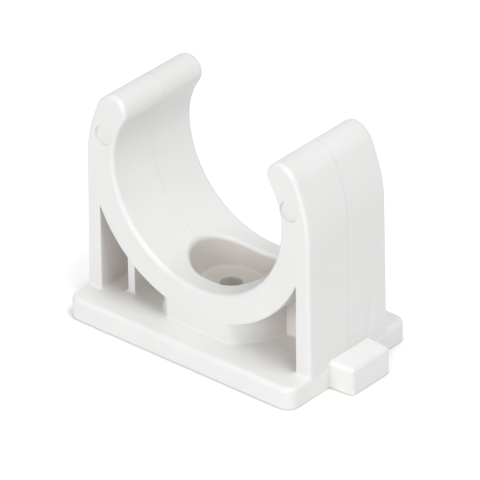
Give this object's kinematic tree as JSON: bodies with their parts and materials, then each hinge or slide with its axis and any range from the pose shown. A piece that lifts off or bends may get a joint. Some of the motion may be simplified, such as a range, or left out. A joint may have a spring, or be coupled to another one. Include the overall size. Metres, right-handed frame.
{
  "type": "snap-in pipe clip",
  "caption": "One-piece moulded plastic clip: an open round cradle with rounded snap-in lips on a base plate, with a recessed screw hole and a coupling lug at one end.",
  "frame": {"origin": "axis of the screw hole at the underside of the base plate", "axes": "+Z from the plate to the mouth between the lips, along the screw hole; the pipe lies along Y; the coupling lug is at +X"},
  "size_m": [0.0594, 0.034, 0.0466],
  "materials": {
    "moulding": "satin white moulded polypropylene with a fine parting line"
  },
  "bodies": {
    "root": {"pipe_clip": "moulding"}
  },
  "joints": []
}
